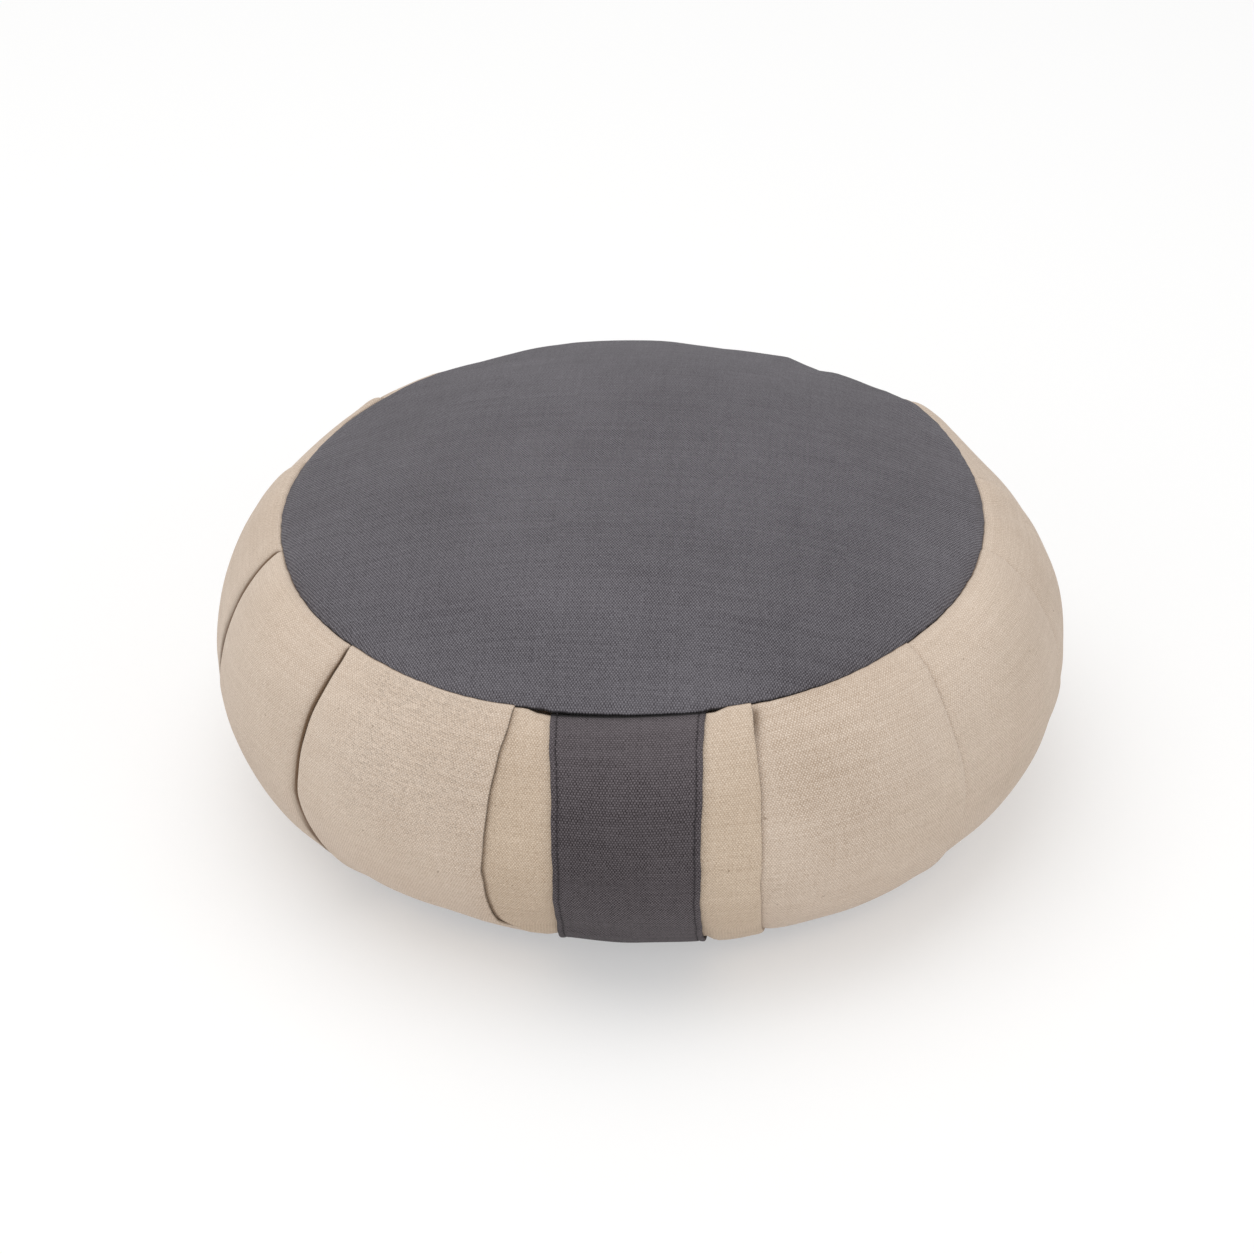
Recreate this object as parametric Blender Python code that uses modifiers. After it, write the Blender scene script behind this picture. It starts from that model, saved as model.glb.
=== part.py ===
"""A round meditation cushion with a pleated side band, two round panels and a carry strip.

Metres, +Z up. The cushion rests on its base at Z 0, its axis is Z and the carry strip faces -Y.
An angle is measured round the axis from the front, positive towards +X.
"""

import math

import bmesh
import bpy
import numpy as np

# The middle of the cushion's own box, from the axis that its circles are measured from
MIDDLE_RIGHT = 0.0004
MIDDLE_BACK = 0.0010

# Side of the cushion, from the top seam down to the bottom seam
SIDE_RADIUS = 0.1809
SIDE_HEIGHT = 0.0617
SIDE_BACK = -0.0017
SIDE_SINK = 0.0026
UPPER_ROUND = 1.72
LOWER_ROUND = 1.71

# Top seam: its circle leans a little and sits a little off the axis
SEAM_RADIUS = 0.1468
SEAM_HEIGHT = 0.1178
SEAM_RIGHT = -0.0028
SEAM_BACK = 0.0030
SEAM_RISE_RIGHT = 0.0013
SEAM_RISE_BACK = 0.0037

# At the back the band falls away steeply below the top seam
BACK_AIM = 171.0
BACK_DROP = 0.0038
BACK_RISE = 0.0006

# Bottom seam, and the flat that the cushion rests on
BASE_RADIUS = 0.1454
BASE_HEIGHT = 0.0107
BASE_FLAT = 0.80
BASE_POWER = 1.6

# Crown of the top panel above its seam
CROWN = 0.030
CROWN_POWER = 2.6

# Cloth
PANEL_THICKNESS = 0.0015
STRIP_THICKNESS = 0.0016
PANEL_DEPTH = 0.0023
PANEL_INSET = 0.0007
WALL_INSET = 0.0003
GAP = 0.0004

# Carry strip: its width, and how much it flattens the side behind it
STRIP_WIDTH = 0.058
STRIP_AIM = (-0.8, -1.9, -0.9)
STRIP_FLAT_TOP = 0.0030
STRIP_FLAT_SIDE = 0.0028
STRIP_FLAT_LOW = 0.0021
STRIP_DIP = 0.0019

# Height of a fold where it is pressed into a seam
SEAM_STEP = 0.0009

# Pleats in order round the cushion. Angles are degrees at the top seam, halfway down and at the bottom
# seam. A lap of 1 has its edge facing larger angles, -1 smaller ones. The step and the puff of the panel
# after the pleat, a quarter, a half and three quarters of the way down, are millimetres.
PLEATS = (
    # name, top, middle, bottom, lap, step, puff high, puff middle, puff low
    ("back left", -159.0, -159.0, -159.0, -1, 1.5, 2.4, 4.0, 1.4),
    ("far left", -131.2, -131.2, -131.2, -1, 1.8, 2.6, 5.1, 1.2),
    ("left rear", -106.8, -103.2, -104.4, -1, 1.6, 1.2, 2.2, 3.2),
    ("left", -79.0, -77.8, -78.0, -1, 1.6, 6.0, 0.8, 0.8),
    ("front left", -49.0, -50.0, -50.0, -1, 2.8, 3.6, 3.8, -1.4),
    ("beside strip, left", -18.0, -19.6, -13.5, 1, 1.6, 0.5, 0.6, 0.5),
    ("beside strip, right", 18.0, 14.8, 22.0, 1, 2.4, 4.0, 2.4, 0.6),
    ("front right", 47.5, 45.7, 46.2, 1, 1.5, 5.2, 1.0, 0.0),
    ("right", 77.0, 77.0, 76.0, 1, 1.6, 1.4, 1.0, 3.2),
    ("right rear", 98.8, 98.8, 98.8, 1, 1.5, 2.8, 6.4, 1.0),
    ("far right", 126.0, 126.0, 126.0, 1, 2.0, 1.8, 5.0, 1.2),
    ("back right", 147.2, 147.2, 147.2, 1, 1.5, 1.6, 4.2, 1.2),
    ("back", 174.3, 174.3, 174.3, 1, 1.5, 1.8, 4.0, 1.5),
)

# One fold, from the upper layer over its edge, back under it and out again on the lower layer.
# Positions are millimetres past the fold's edge, open halfway down and pressed flat at a seam;
# heights are shares of the pleat's step.
FOLD = (
    # across open, across pressed, height open, height pressed
    (-7.0, -7.0, 1.00, 1.00),
    (-3.0, -3.2, 1.00, 0.98),
    (-1.0, -1.7, 0.92, 0.86),
    (0.0, -0.8, 0.58, 0.66),
    (-0.9, 0.0, 0.30, 0.46),
    (-3.6, 0.8, 0.26, 0.28),
    (-3.5, 1.6, 0.02, 0.14),
    (-0.6, 2.4, 0.00, 0.05),
    (2.8, 3.6, 0.00, 0.00),
)
UPPER_COLUMNS = 4
LOWER_COLUMNS = 2

# Columns of the mesh between two folds, and between the two beside the strip
PANEL_SPANS = 3
STRIP_SPANS = 10

# Sections of the side, as shares of the way down it, and rings of the round panels, as shares of radius
LEVELS = (0.0, 0.015, 0.05, 0.10, 0.18, 0.29, 0.41, 0.53, 0.65, 0.76, 0.86, 0.93, 0.98, 1.0)
CROWN_RINGS = (0.25, 0.50, 0.72, 0.90)
FLAT_RINGS = (0.40, 0.80, 0.91)
PANEL_STEPS = 60
STRIP_COLUMNS = 10

# Colours
CREAM = (0.553, 0.435, 0.337, 1.0)
GREY = (0.142, 0.138, 0.146, 1.0)
DARK_GREY = (0.100, 0.086, 0.093, 1.0)


def smooth(value):
    """Ease from 0 to 1."""
    value = np.clip(value, 0.0, 1.0)
    return value * value * (3.0 - 2.0 * value)


def through(first, middle, last, share):
    """The smooth run through three values, at shares 0, a half and 1."""
    start = first * (1.0 - share) * (1.0 - 2.0 * share)
    end = last * share * (2.0 * share - 1.0)
    return start + middle * 4.0 * share * (1.0 - share) + end


def behind_strip(angle):
    """1 behind the carry strip, easing to 0 beside it."""
    aside = np.abs(np.degrees(angle) - STRIP_AIM[1])
    return smooth((24.0 - aside) / 22.0)


def under_strip(angle):
    """1 wherever the carry strip lies, easing to 0 soon after its edges."""
    aside = np.abs(np.degrees(angle) - STRIP_AIM[0])
    return smooth((16.0 - aside) / 3.5)


def behind(angle):
    """1 at the back of the cushion, easing to 0 at its sides."""
    aside = np.abs((np.degrees(angle) - BACK_AIM + 180.0) % 360.0 - 180.0)
    return smooth((50.0 - aside) / 13.0)


def ring_point(angle, radius, x, y, z):
    """A point at an angle round a centre."""
    right = MIDDLE_RIGHT + x + radius * np.sin(angle)
    back = MIDDLE_BACK + y - radius * np.cos(angle)
    return np.stack([right, back, z + 0.0 * angle], -1)


def seam_rise(angle):
    """How far the leaning top seam stands above its mean height."""
    lean = SEAM_RISE_RIGHT * np.sin(angle) - SEAM_RISE_BACK * np.cos(angle)
    return lean + BACK_RISE * behind(angle)


def seam_radius(angle):
    """Radius of the top seam, nearly straight behind the strip."""
    return SEAM_RADIUS - STRIP_FLAT_TOP * behind_strip(angle)


def side_point(angle, down):
    """A point of the side before it is pleated; down is 0 at the top seam and 1 at the bottom one."""
    top = ring_point(angle, seam_radius(angle), SEAM_RIGHT, SEAM_BACK, SEAM_HEIGHT + seam_rise(angle))
    wide = ring_point(angle, SIDE_RADIUS, 0.0, SIDE_BACK, SIDE_HEIGHT)
    low = ring_point(angle, BASE_RADIUS, 0.0, 0.0, BASE_HEIGHT)
    turn = math.pi / 2 * np.abs(1.0 - 2.0 * down)
    above = down < 0.5
    power = 2.0 / np.where(above, UPPER_ROUND, LOWER_ROUND)
    outward = np.clip(np.cos(turn), 0.0, 1.0) ** power
    upward = np.clip(np.sin(turn), 0.0, 1.0) ** power
    seam = np.where(above[..., None], top, low)
    point = seam + (wide - seam) * outward[..., None]
    point[..., 2] = wide[..., 2] + (seam[..., 2] - wide[..., 2]) * upward
    return point


def side_normal(angle, down):
    """The outward direction at a point of the side."""
    centre = np.clip(down, 0.006, 0.994)
    around = side_point(angle + 0.01, centre) - side_point(angle - 0.01, centre)
    along = side_point(angle, centre + 0.004) - side_point(angle, centre - 0.004)
    normal = np.cross(along, around)
    return normal / np.linalg.norm(normal, axis=-1, keepdims=True)


def side_girth(angle, down):
    """Distance of the side from the axis."""
    point = side_point(angle, down)
    return np.hypot(point[..., 0], point[..., 1])


def waist(down):
    """0 at both seams and 1 halfway."""
    return np.sin(math.pi * down)


def step_height(pleat, down):
    """Height of a pleat's step, lower where it is pressed into a seam."""
    return SEAM_STEP + (pleat[5] * 0.001 - SEAM_STEP) * waist(down) ** 0.6


def puff(pleat, share, down):
    """How far the panel after a pleat swells, share of the way across it."""
    quarter = np.clip((down - 0.25) * 2.0, -0.4, 1.4)
    amount = through(pleat[6], pleat[7], pleat[8], quarter) * 0.001
    across = np.sin(math.pi * np.clip(share, 0.0, 1.0)) ** 0.8
    return amount * across * waist(down) ** 0.8


def band_columns(down):
    """Angle and height above the side of each column of the pleated band, for every level."""
    angles = []
    heights = []
    opened = smooth(np.minimum(down, 1.0 - down) / 0.06)
    count = len(PLEATS)
    for index, pleat in enumerate(PLEATS):
        before = PLEATS[index - 1]
        after = PLEATS[(index + 1) % count]
        lap = pleat[4]
        edge = np.radians(through(pleat[1], pleat[2], pleat[3], down))
        edge_before = np.radians(through(before[1], before[2], before[3], down))
        edge_after = np.radians(through(after[1], after[2], after[3], down))
        if index == 0:
            edge_before = edge_before - 2.0 * math.pi
        if index == count - 1:
            edge_after = edge_after + 2.0 * math.pi
        girth = side_girth(edge, down)
        step = step_height(pleat, down)
        rows = FOLD if lap > 0 else FOLD[::-1]
        first_columns = UPPER_COLUMNS if lap > 0 else LOWER_COLUMNS
        last_columns = LOWER_COLUMNS if lap > 0 else UPPER_COLUMNS
        for place, row in enumerate(rows):
            across = (row[1] + (row[0] - row[1]) * opened) * 0.001 * lap
            height = (row[3] + (row[2] - row[3]) * opened) * step
            angle = edge + across / girth
            if place < first_columns:
                height = height + puff(before, (angle - edge_before) / (edge - edge_before), down)
            if place >= len(rows) - last_columns:
                height = height + puff(pleat, (angle - edge) / (edge_after - edge), down)
            angles.append(angle)
            heights.append(height)
        lowest = (FOLD[-1][1] + (FOLD[-1][0] - FOLD[-1][1]) * opened) * 0.001
        highest = -FOLD[0][0] * 0.001
        start = edge + (highest if lap < 0 else lowest) / girth
        end = edge_after - (highest if after[4] > 0 else lowest) / side_girth(edge_after, down)
        start_height = step if lap < 0 else 0.0 * step
        end_height = step_height(after, down) if after[4] > 0 else 0.0 * step
        spans = STRIP_SPANS if pleat[0] == "beside strip, left" else PANEL_SPANS
        for place in range(1, spans + 1):
            share = place / (spans + 1.0)
            angle = start + (end - start) * share
            height = start_height + (end_height - start_height) * smooth(share)
            angles.append(angle)
            heights.append(height + puff(pleat, (angle - edge) / (edge_after - edge), down))
    return np.array(angles), np.array(heights)


def pressed_in(angle, down):
    """How far the side is pressed in: behind the strip, at the strip's ends and below the back seam."""
    low = STRIP_FLAT_LOW * smooth((down - 0.5) / 0.3) * smooth((1.0 - down) / 0.12)
    pressed = behind_strip(angle) * (STRIP_FLAT_SIDE * waist(down) + low)
    ends = 1.0 - smooth(np.minimum(down, 1.0 - down) / 0.12)
    pressed = pressed + STRIP_DIP * under_strip(angle) * ends
    back = BACK_DROP * behind(angle) * smooth(down / 0.05) * smooth((0.5 - down) / 0.38)
    return pressed + back + SIDE_SINK * waist(down)


def band_points(angle, height, down):
    """Points of the pleated band."""
    lift = height - pressed_in(angle, down)
    return side_point(angle, down) + side_normal(angle, down) * lift[..., None]


def crown_point(angle, distance, depth):
    """A point a given distance from the middle of the top panel and a depth below its face."""
    share = np.clip(distance / seam_radius(angle), 0.0, 1.0)
    rise = seam_rise(angle) * share + CROWN * (1.0 - share ** CROWN_POWER)
    return ring_point(angle, distance, SEAM_RIGHT, SEAM_BACK, SEAM_HEIGHT + rise - depth)


def base_point(angle, distance, lift):
    """A point a given distance from the middle of the bottom panel and a lift above its face."""
    share = np.clip((distance / BASE_RADIUS - BASE_FLAT) / (1.0 - BASE_FLAT), 0.0, 1.0)
    return ring_point(angle, distance, 0.0, 0.0, BASE_HEIGHT * share ** BASE_POWER + lift)


def strip_middle(down):
    """Angle of the strip's middle line."""
    return np.radians(through(STRIP_AIM[0], STRIP_AIM[1], STRIP_AIM[2], down))


def body_sections():
    """Rings of the filled body, from its bottom middle up the side to its top middle."""
    down = np.array(LEVELS)
    angles, heights = band_columns(down)
    levels = np.broadcast_to(down, angles.shape)
    band = band_points(angles, heights, levels)
    top_angles = angles[:, 0]
    low_angles = angles[:, -1]
    rings = []
    for share in FLAT_RINGS:
        rings.append(base_point(low_angles, share * BASE_RADIUS + 0.0 * low_angles, PANEL_DEPTH))
    rings.append(base_point(low_angles, BASE_RADIUS - WALL_INSET + 0.0 * low_angles, PANEL_DEPTH))
    for level in range(len(LEVELS) - 1, -1, -1):
        rings.append(band[:, level])
    rings.append(crown_point(top_angles, seam_radius(top_angles) - WALL_INSET, PANEL_DEPTH))
    for share in reversed(CROWN_RINGS):
        rings.append(crown_point(top_angles, share * SEAM_RADIUS + 0.0 * top_angles, PANEL_DEPTH))
    bottom = base_point(np.zeros(1), np.zeros(1), PANEL_DEPTH)[0]
    top = crown_point(np.zeros(1), np.zeros(1), PANEL_DEPTH)[0]
    return bottom, rings, top


def build_body():
    """The filled body: a sphere whose rings are laid on the cushion's own sections."""
    bottom, rings, top = body_sections()
    columns = len(rings[0])
    shape = bmesh.new()
    bmesh.ops.create_uvsphere(shape, u_segments=columns, v_segments=len(rings) + 1, radius=1.0)
    for vertex in shape.verts:
        polar = math.acos(max(-1.0, min(1.0, -vertex.co.z)))
        ring = round(polar / math.pi * (len(rings) + 1))
        column = round(math.atan2(vertex.co.y, vertex.co.x) / (2.0 * math.pi) * columns) % columns
        if ring == 0:
            vertex.co = bottom
        elif ring == len(rings) + 1:
            vertex.co = top
        else:
            vertex.co = rings[ring - 1][column]
    bmesh.ops.triangulate(shape, faces=shape.faces[:])
    return mesh_object("pleated_body", shape)


def mesh_object(name, shape):
    """A new object in the cushion's collection from a built shape."""
    mesh = bpy.data.meshes.new(name)
    shape.to_mesh(mesh)
    shape.free()
    made = bpy.data.objects.new(name, mesh)
    cushion.objects.link(made)
    return made


def turned_sheet(name, distances, place):
    """A round sheet: a line turned about the axis, then laid on the cushion by a placing function."""
    line = bpy.data.meshes.new(name + " line")
    line.from_pydata([(distance, 0.0, 0.0) for distance in distances],
                     [(index, index + 1) for index in range(len(distances) - 1)], [])
    guide = bpy.data.objects.new(name + " line", line)
    guides.objects.link(guide)
    screw = guide.modifiers.new("turn", "SCREW")
    screw.steps = PANEL_STEPS
    screw.render_steps = PANEL_STEPS
    screw.use_merge_vertices = True
    screw.merge_threshold = 0.00001
    guide.hide_render = True
    guide.display_type = "WIRE"
    bpy.context.view_layer.update()
    turned = bpy.data.meshes.new_from_object(guide.evaluated_get(bpy.context.evaluated_depsgraph_get()))
    shape = bmesh.new()
    shape.from_mesh(turned)
    bmesh.ops.remove_doubles(shape, verts=shape.verts[:], dist=0.00001)
    for vertex in shape.verts:
        angle = np.array([math.atan2(vertex.co.x, -vertex.co.y)])
        distance = np.array([math.hypot(vertex.co.x, vertex.co.y)])
        vertex.co = place(angle, distance)[0]
    bmesh.ops.recalc_face_normals(shape, faces=shape.faces[:])
    bpy.data.meshes.remove(turned)
    return mesh_object(name, shape)


def thicken(made, thickness, upward):
    """Give a sheet its thickness on the side away from its face."""
    up = sum(face.normal.z * face.area for face in made.data.polygons)
    if (up > 0.0) != upward:
        made.data.flip_normals()
    solidify = made.modifiers.new("cloth", "SOLIDIFY")
    solidify.thickness = thickness
    solidify.offset = -1.0
    solidify.use_even_offset = True


def build_top_panel():
    """The grey top panel, its face on the crown and its cut edge just inside the seam."""
    distances = [0.0] + [share * SEAM_RADIUS for share in CROWN_RINGS] + [SEAM_RADIUS]

    def place(angle, distance):
        edge = seam_radius(angle)
        return crown_point(angle, np.minimum(distance, edge - PANEL_INSET), 0.0)

    made = turned_sheet("top_panel", distances, place)
    thicken(made, PANEL_THICKNESS, True)
    return made


def build_bottom_panel():
    """The bottom panel, flat where the cushion rests."""
    distances = [0.0] + [share * BASE_RADIUS for share in FLAT_RINGS] + [BASE_RADIUS - PANEL_INSET]

    def place(angle, distance):
        return base_point(angle, distance, 0.0)

    made = turned_sheet("bottom_panel", distances, place)
    thicken(made, PANEL_THICKNESS, False)
    return made


def build_strip():
    """The carry strip, laid on the side from seam to seam."""
    shape = bmesh.new()
    rows = len(LEVELS) - 3
    bmesh.ops.create_grid(shape, x_segments=STRIP_COLUMNS, y_segments=rows, size=1.0)
    levels = LEVELS[1:-1]
    for vertex in shape.verts:
        down = np.array([levels[round((1.0 - vertex.co.y) / 2.0 * rows)]])
        across = vertex.co.x * STRIP_WIDTH / 2
        middle = strip_middle(down)
        angle = middle + across / side_girth(middle, down)
        columns, heights = band_columns(down)
        order = np.argsort(columns[:, 0])
        height = np.interp(angle, columns[order, 0], heights[order, 0])
        vertex.co = band_points(angle, height + GAP, down)[0]
    made = mesh_object("handle_strip", shape)
    solidify = made.modifiers.new("cloth", "SOLIDIFY")
    solidify.thickness = STRIP_THICKNESS
    solidify.offset = 1.0
    solidify.use_even_offset = True
    outward = sum(face.normal.y * face.area for face in made.data.polygons)
    if outward > 0.0:
        made.data.flip_normals()
    return made


def cloth_material(name, colour):
    """Matt woven cotton."""
    material = bpy.data.materials.new(name)
    material.use_nodes = True
    surface = material.node_tree.nodes["Principled BSDF"]
    surface.inputs["Base Color"].default_value = colour
    surface.inputs["Roughness"].default_value = 0.9
    surface.inputs["Metallic"].default_value = 0.0
    return material


for old in list(bpy.data.objects):
    bpy.data.objects.remove(old, do_unlink=True)

cushion = bpy.data.collections.new("meditation cushion")
guides = bpy.data.collections.new("guides")
bpy.context.scene.collection.children.link(cushion)
bpy.context.scene.collection.children.link(guides)

build_body().data.materials.append(cloth_material("cream canvas", CREAM))
build_top_panel().data.materials.append(cloth_material("grey canvas", GREY))
build_bottom_panel().data.materials.append(cloth_material("grey canvas, base", GREY))
build_strip().data.materials.append(cloth_material("grey strip", DARK_GREY))
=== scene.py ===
"""Looks of the meditation cushion: fine cloth surfaces, stitching, materials, light and camera."""

import math
from collections import namedtuple

import bmesh
import bpy
import numpy as np
from mathutils import Matrix, Vector


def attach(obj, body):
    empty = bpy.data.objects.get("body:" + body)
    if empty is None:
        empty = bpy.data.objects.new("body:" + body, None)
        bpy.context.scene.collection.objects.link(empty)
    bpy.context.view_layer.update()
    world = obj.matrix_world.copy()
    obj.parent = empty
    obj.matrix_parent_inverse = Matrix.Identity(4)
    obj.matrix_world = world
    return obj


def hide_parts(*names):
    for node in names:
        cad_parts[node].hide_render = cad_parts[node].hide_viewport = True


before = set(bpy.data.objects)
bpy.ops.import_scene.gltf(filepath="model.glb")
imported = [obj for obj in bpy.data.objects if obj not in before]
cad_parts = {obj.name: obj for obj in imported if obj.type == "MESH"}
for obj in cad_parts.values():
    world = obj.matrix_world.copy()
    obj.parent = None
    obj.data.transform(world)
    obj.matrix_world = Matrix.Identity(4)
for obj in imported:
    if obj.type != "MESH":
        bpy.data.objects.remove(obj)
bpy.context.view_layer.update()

MM = 0.001

# Sizes shared with the solids, in metres

MIDDLE_RIGHT = 0.0004
MIDDLE_BACK = 0.0010
SIDE_RADIUS = 0.1809
SIDE_HEIGHT = 0.0617
SIDE_BACK = -0.0017
SIDE_SINK = 0.0026
UPPER_ROUND = 1.72
LOWER_ROUND = 1.71
SEAM_RADIUS = 0.1468
SEAM_HEIGHT = 0.1178
SEAM_RIGHT = -0.0028
SEAM_BACK = 0.0030
SEAM_RISE_RIGHT = 0.0013
SEAM_RISE_BACK = 0.0037
BACK_AIM = 171.0
BACK_DROP = 0.0038
BACK_RISE = 0.0006
BASE_RADIUS = 0.1454
BASE_HEIGHT = 0.0107
BASE_FLAT = 0.80
BASE_POWER = 1.6
CROWN = 0.030
CROWN_POWER = 2.6
PANEL_DEPTH = 0.0023
STRIP_WIDTH = 0.058
STRIP_AIM = (-0.8, -1.9, -0.9)
STRIP_FLAT_TOP = 0.0030
STRIP_FLAT_SIDE = 0.0028
STRIP_FLAT_LOW = 0.0021
STRIP_DIP = 0.0019
STRIP_THICKNESS = 0.0016
GAP = 0.0004
SEAM_STEP = 0.0009

# Finer forms of the cloth alone, in metres: a drop of the back right corner, the channel under the strip's
# edges and the swell beside them, left and right, and the band's tuck at the top seam
CORNER_DROP = 0.0020
STRIP_CHANNEL = (0.0016, 0.0006)
FLANK_SWELL = (0.0017, 0.0019)
SEAM_TUCK = 0.0005

# How far a fold's edge wavers, the share of the way down in which a fold changes side, the way from seam
# to seam and the girth's radius for laying creases, in metres
EDGE_WAVER_DEGREES = 0.045
TURN_SHARE = 0.06
SIDE_LENGTH = 0.142
MEAN_GIRTH = 0.165

# One pleat. The path is pairs of a share of the way down and degrees. Lap 1 has its edge towards larger
# angles, and turns_at is how far down the lap changes side. Step and lip are in millimetres. The puff of the
# panel after it, the dip of the lower layer beside the fold and how much further out that dip lies (reach)
# have three values, in millimetres, for a quarter, a half and three quarters of the way down. The shade is
# pairs of a share of the way down and how much shade is painted into the crease. Above 1 the painted
# shade spreads further out.
EVEN = ((0.0, 1.2), (0.5, 2.0), (1.0, 1.2))
Pleat = namedtuple("Pleat", "name path lap step puff dip reach lip shade turns_at",
                   defaults=(0.2, EVEN, None))


def straight(angle):
    return ((0.0, angle), (0.5, angle), (1.0, angle))


# Pleats that the photo shows have paths measured there, and the others are evenly laid
LEFT_PATH = ((0.0, -79.4), (0.1, -78.2), (0.2, -77.9), (0.35, -77.9), (0.5, -78.4), (1.0, -78.4))
FRONT_LEFT_PATH = ((0.0, -49.0), (0.07, -48.2), (0.14, -48.2), (0.22, -48.7), (0.3, -49.2), (0.37, -49.5),
                   (0.46, -49.4), (0.54, -49.2), (0.62, -48.5), (0.7, -47.8), (1.0, -46.5))
STRIP_LEFT_PATH = ((0.0, -18.1), (0.1, -18.2), (0.2, -19.0), (0.3, -19.5), (0.42, -19.9), (0.56, -20.0),
                   (0.65, -19.9), (0.715, -19.4), (0.742, -18.9), (0.755, -18.0), (0.79, -15.8),
                   (0.82, -14.2), (1.0, -12.4))
STRIP_RIGHT_PATH = ((0.0, 18.1), (0.08, 17.2), (0.18, 16.4), (0.28, 15.8), (0.4, 15.2), (0.52, 14.9),
                    (0.64, 15.4), (0.75, 16.3), (1.0, 20.0))
FRONT_RIGHT_PATH = ((0.0, 47.2), (0.1, 46.6), (0.2, 45.9), (0.3, 45.6), (0.4, 45.9), (0.5, 45.5),
                    (0.6, 45.2), (1.0, 46.2))
LEFT_SHADE = ((0.0, 6.0), (0.1, 12.0), (0.2, 24.0), (0.3, 45.0), (0.4, 65.0), (0.48, 45.0), (0.57, 7.0),
              (1.0, 3.0))
FRONT_LEFT_SHADE = ((0.0, 2.0), (0.1, 3.0), (0.2, 5.0), (0.3, 6.0), (0.4, 9.0), (0.5, 18.0), (0.6, 45.0),
                    (0.7, 100.0), (0.8, 100.0), (1.0, 4.0))
STRIP_LEFT_SHADE = ((0.0, 0.4), (0.5, 0.45), (0.75, 0.75), (1.0, 0.75))
STRIP_RIGHT_SHADE = ((0.0, 0.7), (0.08, 0.6), (0.16, 0.12), (0.5, 0.05), (1.0, 0.08))
PLEATS = (
    Pleat("back left", straight(-159.0), -1, 1.8, (2.0, 4.0, 1.4), (1.2, 1.6, 1.2), (0.6, 0.8, 0.6)),
    Pleat("far left", straight(-131.2), -1, 1.0, (1.6, 5.1, 1.2), (1.4, 1.8, 1.2), (0.8, 1.0, 0.6)),
    Pleat("left rear", ((0.0, -106.8), (0.5, -103.2), (1.0, -104.4)), -1, 1.6, (0.6, 0.8, 2.6),
          (1.2, 1.6, 1.2), (0.8, 1.0, 0.6)),
    Pleat("left", LEFT_PATH, -1, 0.6, (6.0, 0.8, 1.4), (0.5, 0.5, 0.4), (0.3, 0.3, 0.3), 0.05, LEFT_SHADE),
    Pleat("front left", FRONT_LEFT_PATH, -1, 1.0, (3.6, 3.8, -1.0), (0.6, 0.8, 0.7), (0.2, 0.3, 0.3), 0.1,
          FRONT_LEFT_SHADE),
    Pleat("beside strip, left", STRIP_LEFT_PATH, 1, 1.2, (0.5, 0.6, 0.5), (0.15, 0.25, 0.25),
          (0.0, 0.0, 0.0), 0.35, STRIP_LEFT_SHADE, turns_at=0.76),
    Pleat("beside strip, right", STRIP_RIGHT_PATH, 1, 1.2, (4.0, 2.6, 1.8), (0.7, 0.15, 0.2),
          (0.9, 0.0, 0.0), 0.4, STRIP_RIGHT_SHADE),
    Pleat("front right", FRONT_RIGHT_PATH, 1, 0.75, (5.2, 0.7, 0.0), (0.2, 0.2, 0.15), (0.0, 0.0, 0.0), 0.55,
          ((0.0, 0.0), (1.0, 0.0))),
    Pleat("right", ((0.0, 77.0), (0.5, 77.0), (1.0, 76.0)), 1, 1.0, (1.4, 1.3, 2.4), (0.4, 0.4, 0.4),
          (0.0, 0.0, 0.0), 0.3, ((0.0, 0.0), (0.5, 0.1), (1.0, 0.1))),
    Pleat("right rear", straight(98.8), 1, 1.5, (0.2, 5.6, 1.0), (1.2, 1.6, 1.0), (0.6, 0.8, 0.6)),
    Pleat("far right", straight(126.0), 1, 1.8, (1.8, 5.0, 1.2), (1.2, 1.8, 1.2), (0.8, 1.0, 0.6)),
    Pleat("back right", straight(147.2), 1, 1.6, (1.6, 4.2, 1.2), (1.2, 1.6, 1.2), (0.6, 0.8, 0.6)),
    Pleat("back", straight(174.3), 1, 1.6, (1.8, 4.0, 1.5), (1.2, 1.5, 1.2), (0.6, 0.8, 0.6)),
)
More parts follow.
